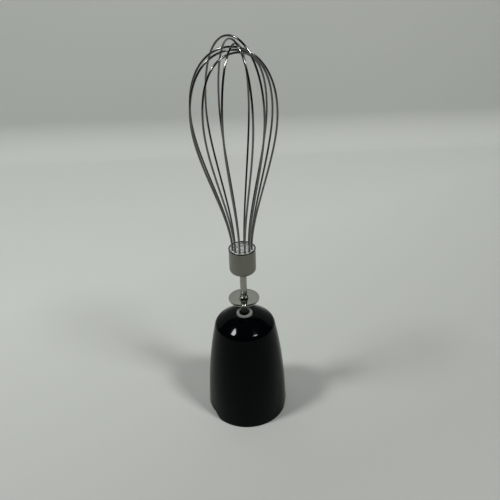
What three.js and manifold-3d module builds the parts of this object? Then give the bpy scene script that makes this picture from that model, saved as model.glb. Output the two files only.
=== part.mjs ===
// Whisk attachment of a stick blender: a plug-in balloon whisk standing on its gearbox housing.
// Millimetres, +Z up. The housing's open rim stands on Z = 0 and every shaft turns about the Z axis.
// An azimuth of 0 degrees faces -Y and grows towards +X.
import * as THREE from 'three';
import { mergeVertices } from 'three/addons/utils/BufferGeometryUtils.js';
import Module from 'manifold-3d';

const wasm = await Module();
wasm.setup();

// ---------------------------------------------------------------- driving dimensions
const gap = 0.3;                 // clearance that neighbouring pieces keep

// housing
const rimRadius = 30;            // outer radius of the open rim
const shoulderRadius = 21.9;     // outer radius where the side turns into the dome
const shoulderHeight = 75.5;     // height of that turn
const shoulderRound = 2.4;       // the turn's rounding goes this far in
const shoulderRise = 3.35;       // and this far up
const domeRise = 9.3;            // from the shoulder to the top of the dome
const sideFullness = 4.6;        // how far the side swells over a straight line to the shoulder
const housingWall = 2.2;         // wall of the moulded housing
const cutoutAzimuth = -80;       // the two cut-outs in the rim face this way and the opposite way
const cutoutWidth = 35;          // width of a cut-out along the rim
const cutoutDepth = 4.5;         // height of a cut-out above the rim
const ribCount = 6;              // ribs under the dome that seat the gearbox casing
const ribThickness = 1.6;

// socket for the blender's handle
const socketShare = 0.53;        // its depth, up to the gearbox cover, as a share of the shoulder's height
const collarStartShare = 0.35;   // the collar begins at this share of the socket's depth
const collarShare = 0.525;       // and is this share of it high
const collarWall = 1.6;
const lugCount = 3;              // bayonet lugs inside the collar
const lugReach = 2;              // how far a lug stands inwards
const lugHeight = 4;
const lugAngle = 32;             // degrees that a lug covers

// planetary gears
const gearModule = 0.6;
const sunTeeth = 12;
const ringTeeth = 48;
const planetCount = 3;
const gearWidth = 8;
const pressureAngle = 20;        // degrees
const backlash = 0.14;           // taken off each tooth at the pitch circle
const ringRim = 1.3;             // ring gear's wall outside its tooth roots
const casingWall = 1.5;
const coverThickness = 2.5;
const carrierThickness = 3.4;
const retainerThickness = 1;     // plate under the planets
const washerThickness = 1;       // thrust washer over the carrier
const pinRadius = 1.2;           // planet pins
const inputShaftRadius = 2.55;
const bushWall = 1.6;            // both sintered bushes

// screws through the cover into the housing's bosses
const screwCount = 3;
const screwAzimuth = 30;         // the first screw's
const screwRadius = 1.4;
const screwHeadRadius = 2.6;
const screwHeadHeight = 1.8;
const screwLength = 12;
const bossWall = 1.05;           // around the screw's hole

// drive coupling on the input shaft
const couplingRadius = 7.5;
const couplingHeight = 11;
const couplingSocketRadius = 4.6;  // corner radius of its six-sided socket
const couplingFloor = 3.5;         // web that grips the input shaft

// output hub
const hubRadius = 5.7;
const hubStand = 0.7;            // how far the hub stands above the dome
const hubFloor = 2.3;            // solid end under its socket
const mouthLead = 1.2;           // the mouth's corners are this much wider than the socket's
const mouthDepth = 2.5;
const sealHeight = 2.4;
const sealReach = 3.3;           // the seal's outside beyond the hub's
const circlipThickness = 0.8;
const circlipReach = 1.8;        // how far the circlip stands out of the hub
const detentWireRadius = 0.35;

// whisk shaft and disc
const shaftRadius = 2.4;
const flatDepth = 0.2;           // of the six milled flats
const flatRun = 5.7;             // they run out this far above the disc
const cutterRadius = 4;          // of the cutter that milled them
const discRadius = 11;
const discThickness = 1;
const discStand = 11.9;          // from the hub's top to the underside of the disc
const earReach = 0.75;           // the staked ears that hold the disc
const earHeight = 2;
const footHeight = 0.8;          // the smaller ears under the disc

// ferrule and wires
const ferruleRadius = 9.2;
const ferruleWall = 0.5;
const ferruleStand = 22;         // from the top of the disc to the ferrule
const ferruleHeight = 18.9;
const ferruleCorner = 3;
const plugRecess = 0.5;          // from the ferrule's rim down to the plug
const wireRadius = 0.65;
const wireCircle = 6.65;         // the twelve wire holes lie on this radius
const plugFloor = 1;             // plug under the wires' ends
const legInset = 1.7;            // the legs stand straight up to this far under the ferrule's rim
const balloonHeight = 138.6;     // from there to where the outermost loop crosses the others
const bellyShare = 0.683;        // height of the widest place, as a share of the balloon's
const bellyRadius = 24.4;
const legReach = 0.307;          // handles of the curve, as shares of its rise: at the leg,
const bellyReachDown = 0.297;    // under the belly,
const bellyReachUp = 0.6;        // over the belly
const crownReach = 0.533;        // and at the crown, as a share of the belly's radius
const firstHole = 45.8;          // azimuth of the first loop's first hole

// Each loop from the top of the stack down. They cross on the axis, one wire and a gap apart. The rest
// is how the springy wire has set in use: sag lowers the crossing further, swing turns the belly, wide
// adds to the belly's radius, shift moves the loop in its own plane and lean moves only its crown.
const loops = [
  { hole: 0, sag: 0, swing: 6, wide: -2.3, shift: -1.8, lean: -1.2 },
  { hole: -1, sag: 0.5, swing: 9, wide: -0.6, shift: -2.2, lean: -1 },
  { hole: -2, sag: 0.7, swing: -5, wide: 0, shift: 0.7, lean: 0 },
  { hole: 1, sag: 0.75, swing: 7, wide: 1.8, shift: -1.9, lean: 0 },
  { hole: -4, sag: 0.9, swing: 4, wide: 1.6, shift: 2.8, lean: 0 },
  { hole: -3, sag: 0.9, swing: -9, wide: -0.5, shift: 0.6, lean: 0 },
];

// ---------------------------------------------------------------- levels and fits worked out
const holePitch = 360 / (2 * loops.length);
const domeTop = shoulderHeight + domeRise;
const hubTop = domeTop + hubStand;
const socketDepth = socketShare * shoulderHeight;
const collarStart = collarStartShare * socketDepth;
const collarHeight = collarShare * socketDepth;

const planetTeeth = (ringTeeth - sunTeeth) / 2;
const planetDistance = gearModule * (sunTeeth + planetTeeth) / 2;
const ringOuter = gearModule * (ringTeeth / 2 + 1.3) + ringRim;
const casingOuter = ringOuter + gap + casingWall;
const carrierRadius = planetDistance + pinRadius + 2.8;

const coverTop = socketDepth + coverThickness;
const retainerLevel = coverTop + gap;
const gearLevel = retainerLevel + retainerThickness + gap;
const gearTop = gearLevel + gearWidth;
const carrierLevel = gearTop + gap;
const carrierTop = carrierLevel + carrierThickness;
const washerLevel = carrierTop + gap;
const casingRoof = washerLevel + washerThickness + gap;
const casingTop = casingRoof + casingWall;
const hubSocketFloor = carrierTop + hubFloor;

const outputBushInner = hubRadius + gap;
const outputBushOuter = outputBushInner + bushWall;
const inputBushInner = inputShaftRadius + gap;
const inputBushOuter = inputBushInner + bushWall;
const neckOuter = outputBushOuter + gap + casingWall;
const sealRadius = hubRadius + sealReach;
const sealTop = domeTop - 2;
const neckTop = sealTop - sealHeight - circlipThickness - 3 * gap;
const bossCircle = casingOuter + gap + screwRadius + gap + bossWall;
const coverEar = screwHeadRadius + 0.2;

const shaftFlat = shaftRadius - flatDepth;
const discLevel = hubTop + discStand;
const discTop = discLevel + discThickness;
const flatTop = discTop + flatRun;
const ferruleBottom = discTop + ferruleStand;
const ferruleTop = ferruleBottom + ferruleHeight;
const plugTop = ferruleTop - plugRecess;
const plugBottom = ferruleBottom + ferruleWall + gap;
const wireBottom = plugBottom + ferruleCorner + plugFloor;
const legTop = ferruleTop - legInset;
const crossing = legTop + balloonHeight;
const bellyHeight = legTop + bellyShare * balloonHeight;

const smooth = 36;               // sides of the large round pieces
const small = 12;                // sides of the small ones

// ---------------------------------------------------------------- solids
const radians = (degrees) => degrees * Math.PI / 180;

// The direction of an azimuth, on the floor plane.
const towards = (azimuth) =>
  new THREE.Vector3(Math.sin(radians(azimuth)), -Math.cos(radians(azimuth)), 0);

function solidOf(geometry) {
  const bare = geometry.clone();
  bare.deleteAttribute('normal');
  bare.deleteAttribute('uv');
  const merged = mergeVertices(bare, 1e-5);
  const kept = [];
  for (let i = 0; i < merged.index.count; i += 3) {
    const [a, b, c] = [0, 1, 2].map((k) => merged.index.getX(i + k));
    if (a !== b && b !== c && c !== a) kept.push(a, b, c);
  }
  return new wasm.Manifold(new wasm.Mesh({
    numProp: 3,
    vertProperties: new Float32Array(merged.attributes.position.array),
    triVerts: new Uint32Array(kept),
  }));
}

function geometryOf(solid) {
  const { vertProperties, triVerts } = solid.getMesh();
  const geometry = new THREE.BufferGeometry();
  geometry.setAttribute('position', new THREE.BufferAttribute(vertProperties, 3));
  geometry.setIndex(new THREE.BufferAttribute(triVerts, 1));
  geometry.computeVertexNormals();
  return geometry;
}

// A turned piece. The profile is a list of [radius, height], up the outside and down the inside.
function turned(profile, sides = smooth) {
  const points = profile.map(([radius, height]) => new THREE.Vector2(radius, height));
  const onAxis = profile[0][0] === 0 && profile.at(-1)[0] === 0;
  if (!onAxis) points.push(points[0].clone());
  return solidOf(new THREE.LatheGeometry(points, sides).rotateX(Math.PI / 2));
}

const disc = (radius, low, high, sides) =>
  turned([[0, low], [radius, low], [radius, high], [0, high]], sides);

const sleeve = (inner, outer, low, high, sides) =>
  turned([[outer, low], [outer, high], [inner, high], [inner, low]], sides);

// An upright prism over an outline of [x, y] points.
function prism(outline, low, high) {
  const shape = new THREE.Shape(outline.map(([x, y]) => new THREE.Vector2(x, y)));
  const geometry = new THREE.ExtrudeGeometry(shape, { depth: high - low, bevelEnabled: false });
  return solidOf(geometry.translate(0, 0, low));
}

// A six-sided prism with a corner facing -Y.
function hexagon(corner, low, high) {
  const outline = [];
  for (let i = 0; i < 6; i += 1) {
    const point = towards(60 * i).multiplyScalar(corner);
    outline.push([point.x, point.y]);
  }
  return prism(outline, low, high);
}

// A box that reaches from one radius to another along an azimuth.
function spoke(azimuth, inner, outer, width, low, high) {
  const box = new THREE.BoxGeometry(outer - inner, width, high - low);
  box.translate((inner + outer) / 2, 0, (low + high) / 2);
  return solidOf(box.rotateZ(radians(azimuth - 90)));
}

const placed = (solid, azimuth, radius) =>
  solid.translate(towards(azimuth).multiplyScalar(radius).toArray());

// Outline of an involute gear with a tooth centred on the given angle. extra widens each tooth.
function gearOutline(teeth, tip, root, extra, startAngle) {
  const pitch = gearModule * teeth / 2;
  const base = pitch * Math.cos(radians(pressureAngle));
  const involute = (radius) => {
    const angle = Math.acos(Math.min(1, base / radius));
    return Math.tan(angle) - angle;
  };
  const halfAt = (radius) =>
    Math.PI / (2 * teeth) + extra / (2 * pitch) + involute(pitch) - involute(radius);
  const lowest = Math.max(root, base);
  const flank = [0, 1].map((share) => lowest + (tip - lowest) * share);
  if (root < base) flank.unshift(root);
  const outline = [];
  for (let i = 0; i < teeth; i += 1) {
    const centre = startAngle + 2 * Math.PI * i / teeth;
    const rising = flank.map((radius) => [radius, centre - halfAt(radius)]);
    const falling = [...flank].reverse().map((radius) => [radius, centre + halfAt(radius)]);
    for (const [radius, angle] of [...rising, ...falling]) {
      outline.push([radius * Math.cos(angle), radius * Math.sin(angle)]);
    }
  }
  return outline;
}

// A round bar of the given radius that follows a path.
function bar(path, radius, steps, sides = 8) {
  const section = new THREE.Shape();
  for (let i = 0; i < sides; i += 1) {
    const angle = 2 * Math.PI * i / sides;
    const draw = i === 0 ? 'moveTo' : 'lineTo';
    section[draw](radius * Math.cos(angle), radius * Math.sin(angle));
  }
  return solidOf(new THREE.ExtrudeGeometry(section, { steps, extrudePath: path, bevelEnabled: false }));
}

// ---------------------------------------------------------------- finishes
const finish = (color, roughness, metalness) =>
  new THREE.MeshStandardMaterial({ color, roughness, metalness });

const glossBlack = finish(0x0b0c0d, 0.12, 0);
const darkPlastic = finish(0x1c1d1f, 0.5, 0);
const greyPlastic = finish(0x6f7274, 0.55, 0);
const naturalNylon = finish(0xd8d4c6, 0.6, 0);
const steelWire = finish(0xa9abaa, 0.22, 1);
const satinSteel = finish(0x8f9190, 0.38, 1);
const polishedSteel = finish(0xb5b6b4, 0.16, 1);
const sinteredBronze = finish(0x8a6a3f, 0.6, 1);
const zincScrew = finish(0xa7a9a6, 0.4, 1);
const blackRubber = finish(0x141414, 0.8, 0);

const assembly = new THREE.Group();
assembly.name = 'whisk_attachment';

function addPiece(name, solid, material) {
  const mesh = new THREE.Mesh(geometryOf(solid), material);
  mesh.name = name;
  assembly.add(mesh);
}

// ---------------------------------------------------------------- housing
const sideWith = (fullness) => new THREE.CubicBezierCurve(
  new THREE.Vector2(rimRadius, 0),
  new THREE.Vector2(rimRadius - 0.7, 0.4 * shoulderHeight),
  new THREE.Vector2(shoulderRadius + fullness, 0.73 * shoulderHeight),
  new THREE.Vector2(shoulderRadius, shoulderHeight),
);

// Radius of a side curve at a height.
function radiusAt(curve, height) {
  let low = 0;
  let high = 1;
  for (let i = 0; i < 40; i += 1) {
    const middle = (low + high) / 2;
    if (curve.getPoint(middle).y < height) low = middle;
    else high = middle;
  }
  return curve.getPoint(low).x;
}

// The side is fuller where a larger gearbox cover needs the room.
function fittedFullness() {
  const needed = bossCircle + coverEar + gap + housingWall;
  const plain = radiusAt(sideWith(sideFullness), coverTop);
  const gain = radiusAt(sideWith(sideFullness + 1), coverTop) - plain;
  return sideFullness + Math.max(0, (needed - plain) / gain);
}
const sideCurve = sideWith(fittedFullness());
const shoulderCurve = new THREE.QuadraticBezierCurve(
  new THREE.Vector2(shoulderRadius, shoulderHeight),
  new THREE.Vector2(shoulderRadius - 0.2 * shoulderRound, shoulderHeight + 0.6 * shoulderRise),
  new THREE.Vector2(shoulderRadius - shoulderRound, shoulderHeight + shoulderRise),
);
const domeCurve = new THREE.CubicBezierCurve(
  new THREE.Vector2(shoulderRadius - shoulderRound, shoulderHeight + shoulderRise),
  new THREE.Vector2(0.62 * shoulderRadius, shoulderHeight + 0.3 * shoulderRise + 0.7 * domeRise),
  new THREE.Vector2(0.545 * shoulderRadius, domeTop - 0.9),
  new THREE.Vector2(hubRadius + gap, domeTop),
);

const housingRadius = (height) => radiusAt(sideCurve, height);

// The housing's cavity stays one wall inside the outer surface.
function cavity() {
  const side = sideCurve.getPoints(6).map(({ x, y }) => [x - housingWall, y]);
  const inside = side.filter(([, height]) => height < shoulderHeight - housingWall);
  const roof = domeCurve.getPoints(2).map(({ x, y }) => [x - housingWall, y - housingWall]);
  const profile = [[0, -1], [rimRadius - housingWall, -1], ...inside, ...roof];
  return turned([...profile, [0, domeTop - housingWall]]);
}

function outerBody() {
  const curves = [sideCurve.getPoints(8), shoulderCurve.getPoints(3), domeCurve.getPoints(4)];
  const profile = [[0, 0], [rimRadius, 0]];
  for (const points of curves) profile.push(...points.slice(1).map(({ x, y }) => [x, y]));
  return turned([...profile, [0, domeTop]]);
}

// The cut-outs in the rim, with rounded shoulders, right across the housing.
function rimCutouts() {
  const half = cutoutWidth / 2;
  const ease = cutoutDepth;
  const shape = new THREE.Shape();
  shape.moveTo(-half, -1);
  shape.lineTo(half, -1);
  shape.lineTo(half, 0);
  shape.bezierCurveTo(half - 0.5 * ease, 0.1 * ease, half - 0.6 * ease, ease, half - 1.4 * ease, ease);
  shape.lineTo(1.4 * ease - half, ease);
  shape.bezierCurveTo(0.6 * ease - half, ease, 0.5 * ease - half, 0.1 * ease, -half, 0);
  shape.closePath();
  const length = 3 * rimRadius;
  const block = new THREE.ExtrudeGeometry(shape, { depth: length, bevelEnabled: false, curveSegments: 6 });
  block.translate(0, 0, -length / 2).rotateX(Math.PI / 2).rotateZ(radians(cutoutAzimuth));
  return solidOf(block);
}

function screwAngles() {
  return Array.from({ length: screwCount }, (_, i) => screwAzimuth + 360 * i / screwCount);
}

function housing() {
  const outer = outerBody();
  const bossRadius = screwRadius + gap + bossWall;
  const bossLow = coverTop + gap;
  let inner = sleeve(hubRadius + gap + 0.05, sealRadius + gap + housingWall, sealTop - 1.2, domeTop);
  for (const azimuth of screwAngles()) {
    inner = inner.add(placed(disc(bossRadius, bossLow, domeTop, small), azimuth, bossCircle));
    const web = spoke(azimuth, bossCircle, rimRadius, ribThickness, bossLow + 2, domeTop);
    inner = inner.add(web);
  }
  const ribInner = Math.max(neckOuter, sealRadius) + 3 * gap;
  for (let i = 0; i < ribCount; i += 1) {
    const azimuth = screwAzimuth + 360 * i / ribCount;
    inner = inner.add(spoke(azimuth, ribInner, rimRadius, ribThickness, casingTop + gap, domeTop));
  }
  const sealRoom = disc(sealRadius + gap, sealTop - sealHeight - 4, sealTop, smooth);
  const sealWall = sleeve(sealRadius + gap, sealRadius + gap + 1.2, sealTop - sealHeight, domeTop - 1);
  let body = outer.subtract(cavity()).add(inner.add(sealWall).intersect(outer)).subtract(sealRoom);
  body = body.subtract(disc(hubRadius + gap + 0.05, sealTop - 1, domeTop + 1, smooth));
  for (const azimuth of screwAngles()) {
    const hole = disc(screwRadius + gap, coverTop - 1, socketDepth + screwLength + 1, small);
    body = body.subtract(placed(hole, azimuth, bossCircle));
  }
  return body.subtract(rimCutouts());
}
addPiece('outer_housing', housing(), glossBlack);

// ---------------------------------------------------------------- collar that locks on the handle
function couplingCollar() {
  const steps = 3;
  const outside = [];
  for (let i = 0; i <= steps; i += 1) {
    const height = collarStart + collarHeight * i / steps;
    outside.push([housingRadius(height) - housingWall - gap, height]);
  }
  const inside = [...outside].reverse().map(([radius, height]) => [radius - collarWall, height]);
  let body = turned([...outside, ...inside]);
  const lugLow = collarStart + 5;
  const lugOuter = housingRadius(lugLow + lugHeight) - housingWall - gap - 0.5 * collarWall;
  const lugInner = lugOuter - 0.5 * collarWall - lugReach;
  const ringOfLugs = sleeve(lugInner, lugOuter, lugLow, lugLow + lugHeight);
  for (let i = 0; i < lugCount; i += 1) {
    const centre = 360 * i / lugCount;
    const outline = [[0, 0]];
    for (const side of [-0.5, 0, 0.5]) {
      const point = towards(centre + side * lugAngle).multiplyScalar(2 * rimRadius);
      outline.push([point.x, point.y]);
    }
    body = body.add(ringOfLugs.intersect(prism(outline, lugLow - 1, lugLow + lugHeight + 1)));
  }
  return body;
}
addPiece('coupling_collar', couplingCollar(), darkPlastic);

// ---------------------------------------------------------------- gearbox
function gearboxCover() {
  let body = disc(casingOuter, socketDepth, coverTop);
  body = body.add(disc(inputBushOuter + gap + 1.5, socketDepth - 2, coverTop));
  for (const azimuth of screwAngles()) {
    body = body.add(placed(disc(coverEar, socketDepth, coverTop, small), azimuth, bossCircle));
    body = body.add(spoke(azimuth, casingOuter - 2, bossCircle, 2 * coverEar, socketDepth, coverTop));
  }
  for (const azimuth of screwAngles()) {
    const hole = disc(screwRadius + gap, socketDepth - 1, coverTop + 1, small);
    body = body.subtract(placed(hole, azimuth, bossCircle));
  }
  return body.subtract(disc(inputBushOuter + gap, socketDepth - 3, coverTop + 1));
}
addPiece('gearbox_cover', gearboxCover(), darkPlastic);

function gearboxCasing() {
  const neckInner = neckOuter - casingWall;
  const inner = ringOuter + gap;
  return turned([
    [inner, coverTop + gap], [casingOuter, coverTop + gap], [casingOuter, casingTop],
    [neckOuter, casingTop], [neckOuter, neckTop],
    [neckInner, neckTop], [neckInner, casingRoof], [inner, casingRoof],
  ]);
}
addPiece('gearbox_casing', gearboxCasing(), naturalNylon);

function ringGear() {
  const pitch = gearModule * ringTeeth / 2;
  const tooth = Math.PI / ringTeeth;
  const spaces = gearOutline(ringTeeth, pitch + 1.3 * gearModule, pitch - 0.9 * gearModule, backlash, tooth);
  return disc(ringOuter, gearLevel - gap, gearTop + gap).subtract(prism(spaces, gearLevel - 1, gearTop + 1));
}
addPiece('ring_gear', ringGear(), naturalNylon);

function externalGear(teeth, startAngle, low, high) {
  const pitch = gearModule * teeth / 2;
  const tip = pitch + 0.9 * gearModule;
  const outline = gearOutline(teeth, tip, pitch - 1.25 * gearModule, -backlash, startAngle);
  return prism(outline, low, high);
}

function sunGear() {
  const bottom = socketDepth - 2 - gap - couplingFloor;
  const hexLength = couplingFloor + gap / 2;
  return externalGear(sunTeeth, 0, coverTop + 2 * gap, gearTop)
    .add(disc(inputShaftRadius, bottom + hexLength, coverTop + 3 * gap, small))
    .add(hexagon(inputShaftRadius, bottom, bottom + hexLength + 0.5));
}
addPiece('sun_gear', sunGear(), satinSteel);

for (let i = 0; i < planetCount; i += 1) {
  const angle = 2 * Math.PI * i / planetCount;
  const place = [planetDistance * Math.cos(angle), planetDistance * Math.sin(angle), 0];
  const halfTooth = Math.PI / planetTeeth;
  const bore = disc(pinRadius + gap, gearLevel - 1, gearTop + 1, small);
  const gear = externalGear(planetTeeth, angle + Math.PI + halfTooth, gearLevel, gearTop).subtract(bore);
  addPiece(`planet_gear_${i + 1}`, gear.translate(place), naturalNylon);
  const pin = disc(pinRadius, retainerLevel + 0.1, carrierTop - 0.1, small);
  addPiece(`planet_pin_${i + 1}`, pin.translate(place), polishedSteel);
}

// A plate with a hole for each planet pin.
function pinPlate(plate, low, high) {
  let body = plate;
  for (let i = 0; i < planetCount; i += 1) {
    const angle = 2 * Math.PI * i / planetCount;
    const place = [planetDistance * Math.cos(angle), planetDistance * Math.sin(angle), 0];
    body = body.subtract(disc(pinRadius + gap, low - 1, high + 1, small).translate(place));
  }
  return body;
}

function planetRetainer() {
  const inner = gearModule * (sunTeeth / 2 + 1) + 1;
  const top = retainerLevel + retainerThickness;
  return pinPlate(sleeve(inner, carrierRadius, retainerLevel, top), retainerLevel, top);
}
addPiece('planet_retainer', planetRetainer(), polishedSteel);

const spigotCorner = hubRadius - 0.1;

function planetCarrier() {
  const plate = disc(carrierRadius, carrierLevel, carrierTop);
  const socket = hexagon(spigotCorner + 2 * gap / Math.sqrt(3), carrierLevel - 1, carrierTop + 1);
  return pinPlate(plate.subtract(socket), carrierLevel, carrierTop);
}
addPiece('planet_carrier', planetCarrier(), satinSteel);

addPiece(
  'thrust_washer',
  sleeve(hubRadius + gap, carrierRadius - 1, washerLevel, washerLevel + washerThickness),
  polishedSteel,
);
addPiece(
  'input_bush',
  sleeve(inputBushInner, inputBushOuter, socketDepth - 2, coverTop + gap, small),
  sinteredBronze,
);
addPiece(
  'output_bush',
  sleeve(outputBushInner, outputBushOuter, casingRoof, neckTop, smooth),
  sinteredBronze,
);

// ---------------------------------------------------------------- output hub
const detentLevel = (hubSocketFloor + hubTop) / 2;
const hubHexCorner = (shaftFlat + gap) * 2 / Math.sqrt(3);
const circlipLevel = neckTop + gap;

function outputHub() {
  const chamfer = 0.5;
  const outside = turned([
    [0, carrierTop + gap], [hubRadius, carrierTop + gap], [hubRadius, hubTop - chamfer],
    [hubRadius - chamfer, hubTop], [0, hubTop],
  ]);
  const grooveRadius = hubRadius - circlipReach / 2;
  const grooveTop = circlipLevel + circlipThickness + gap;
  const groove = sleeve(grooveRadius, hubRadius + 1, circlipLevel - gap, grooveTop);
  const roomRadius = shaftRadius + 2 * detentWireRadius + 3 * gap;
  const roomHalf = detentWireRadius + 1.5 * gap;
  const detentRoom = disc(roomRadius, detentLevel - roomHalf, detentLevel + roomHalf, small);
  const mouth = hexagon(hubHexCorner + mouthLead, hubTop - mouthDepth, hubTop + 1);
  return outside
    .add(hexagon(spigotCorner, carrierLevel + gap, carrierTop + gap + 0.5))
    .subtract(groove)
    .subtract(hexagon(hubHexCorner, hubSocketFloor, hubTop + 1))
    .subtract(mouth)
    .subtract(detentRoom);
}
addPiece('output_hub', outputHub(), greyPlastic);

// An open ring lies in the hub's groove.
function openRing(inner, outer, low, high, opening) {
  const wedge = [[0, 0]];
  for (const side of [-0.5, 0.5]) {
    const point = towards(180 + side * opening).multiplyScalar(3 * outer);
    wedge.push([point.x, point.y]);
  }
  return sleeve(inner, outer, low, high).subtract(prism(wedge, low - 1, high + 1));
}
addPiece(
  'hub_circlip',
  openRing(
    hubRadius - circlipReach / 2 + gap, hubRadius + circlipReach,
    circlipLevel, circlipLevel + circlipThickness, 60,
  ),
  polishedSteel,
);

function detentRing() {
  const radius = shaftRadius + gap + detentWireRadius;
  const points = [];
  for (let i = 0; i <= 24; i += 1) {
    const point = towards(15 + 330 * i / 24).multiplyScalar(radius);
    points.push(point.setZ(detentLevel));
  }
  return bar(new THREE.CatmullRomCurve3(points), detentWireRadius, 22, 6);
}
addPiece('detent_ring', detentRing(), polishedSteel);

function lipSeal() {
  const low = sealTop - sealHeight;
  return turned([
    [hubRadius + gap, low + 0.6], [hubRadius + gap + 1, low], [sealRadius, low], [sealRadius, sealTop - gap],
    [hubRadius + gap + 1.2, sealTop - gap], [hubRadius + gap, sealTop - 1],
  ]);
}
addPiece('lip_seal', lipSeal(), blackRubber);

// ---------------------------------------------------------------- drive coupling and screws
function driveCoupling() {
  const top = socketDepth - 2 - gap;
  const bottom = top - couplingHeight;
  const roof = top - couplingFloor;
  const shape = [
    [0, bottom], [couplingRadius - 0.8, bottom], [couplingRadius, bottom + 0.8],
    [couplingRadius, roof], [couplingRadius - 2, top], [0, top],
  ];
  return turned(shape)
    .subtract(hexagon(couplingSocketRadius, bottom - 1, roof - gap))
    .subtract(hexagon(inputShaftRadius + 2 * gap / Math.sqrt(3), roof - 1, top + 1));
}
addPiece('drive_coupling', driveCoupling(), darkPlastic);

function coverScrew() {
  const headTop = socketDepth - gap;
  const headLow = headTop - screwHeadHeight;
  const head = turned([
    [0, headLow], [0.7 * screwHeadRadius, headLow], [screwHeadRadius, headLow + 0.8],
    [screwHeadRadius, headTop], [0, headTop],
  ], small);
  let recess = new THREE.BoxGeometry(2.6, 0.6, 2);
  recess = solidOf(recess.translate(0, 0, headLow));
  return head
    .add(disc(screwRadius, headTop - 0.5, socketDepth + screwLength, 16))
    .subtract(recess.add(recess.rotate([0, 0, 90])));
}
screwAngles().forEach((azimuth, i) => {
  addPiece(`cover_screw_${i + 1}`, placed(coverScrew(), azimuth, bossCircle), zincScrew);
});

// ---------------------------------------------------------------- whisk shaft
// The milled flats end in the arc that a round cutter leaves.
function flatCutter() {
  const reach = shaftRadius + 2;
  const shape = new THREE.Shape();
  shape.moveTo(shaftFlat, 0);
  shape.lineTo(shaftFlat, flatTop - cutterRadius);
  const end = Math.acos(Math.max(0, 1 - (reach - shaftFlat) / cutterRadius));
  shape.absarc(shaftFlat + cutterRadius, flatTop - cutterRadius, cutterRadius, Math.PI, Math.PI - end, true);
  shape.lineTo(reach + cutterRadius, flatTop - cutterRadius);
  shape.lineTo(reach + cutterRadius, 0);
  shape.closePath();
  const width = 4 * shaftRadius;
  const block = new THREE.ExtrudeGeometry(shape, { depth: width, bevelEnabled: false, curveSegments: 4 });
  return block.translate(0, 0, -width / 2).rotateX(Math.PI / 2);
}

function whiskShaft() {
  const bottom = hubSocketFloor + gap;
  const top = ferruleTop - plugRecess - 3;
  const tip = 1;
  let body = turned([
    [0, bottom], [shaftRadius - tip, bottom], [shaftRadius, bottom + tip], [shaftRadius, top], [0, top],
  ], 24);
  for (let i = 0; i < 6; i += 1) {
    body = body.subtract(solidOf(flatCutter().rotateZ(radians(60 * i))));
  }
  const grooveDepth = 0.5;
  const groove = sleeve(shaftRadius - grooveDepth, shaftRadius + 1, detentLevel - 0.5, detentLevel + 0.5, 24);
  body = body.subtract(groove);
  for (let i = 0; i < 4; i += 1) {
    const azimuth = 90 * i;
    const reach = shaftRadius + earReach;
    body = body.add(spoke(azimuth, 0.5, reach, 1.3, discTop + gap, discTop + gap + earHeight));
    body = body.add(spoke(azimuth, 0.5, reach, 1.3, discLevel - gap - footHeight, discLevel - gap));
  }
  return body;
}
addPiece('whisk_shaft', whiskShaft(), polishedSteel);

addPiece(
  'splash_disc',
  sleeve(shaftRadius + gap, discRadius, discLevel, discLevel + discThickness),
  polishedSteel,
);

// ---------------------------------------------------------------- ferrule and wires
function ferruleCup() {
  const arc = (radius, centreRadius, centreHeight, from, to) => {
    const points = [];
    for (let i = 0; i <= 3; i += 1) {
      const angle = radians(from + (to - from) * i / 3);
      points.push([centreRadius + radius * Math.cos(angle), centreHeight + radius * Math.sin(angle)]);
    }
    return points;
  };
  const centre = ferruleRadius - ferruleCorner;
  const level = ferruleBottom + ferruleCorner;
  return turned([
    [shaftRadius + gap, ferruleBottom],
    ...arc(ferruleCorner, centre, level, -90, 0),
    [ferruleRadius + 0.1, ferruleTop - 0.3],
    [ferruleRadius - 0.15, ferruleTop],
    [ferruleRadius - ferruleWall, ferruleTop - 0.3],
    ...arc(ferruleCorner - ferruleWall, centre, level, 0, -90),
    [shaftRadius + gap, ferruleBottom + ferruleWall],
  ]);
}
addPiece('ferrule_cup', ferruleCup(), satinSteel);

function wirePlug() {
  const radius = ferruleRadius - ferruleWall - gap;
  let body = turned([
    [0, plugBottom], [radius - ferruleCorner, plugBottom], [radius, plugBottom + ferruleCorner],
    [radius, plugTop], [0, plugTop],
  ]);
  for (let i = 0; i < 2 * loops.length; i += 1) {
    const hole = disc(wireRadius + gap, wireBottom - gap, plugTop + 1, 8);
    body = body.subtract(placed(hole, firstHole + holePitch * i, wireCircle));
  }
  return body.subtract(disc(shaftRadius + gap, plugBottom - 1, plugTop - 3 + gap, small));
}
addPiece('wire_plug', wirePlug(), greyPlastic);

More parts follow.
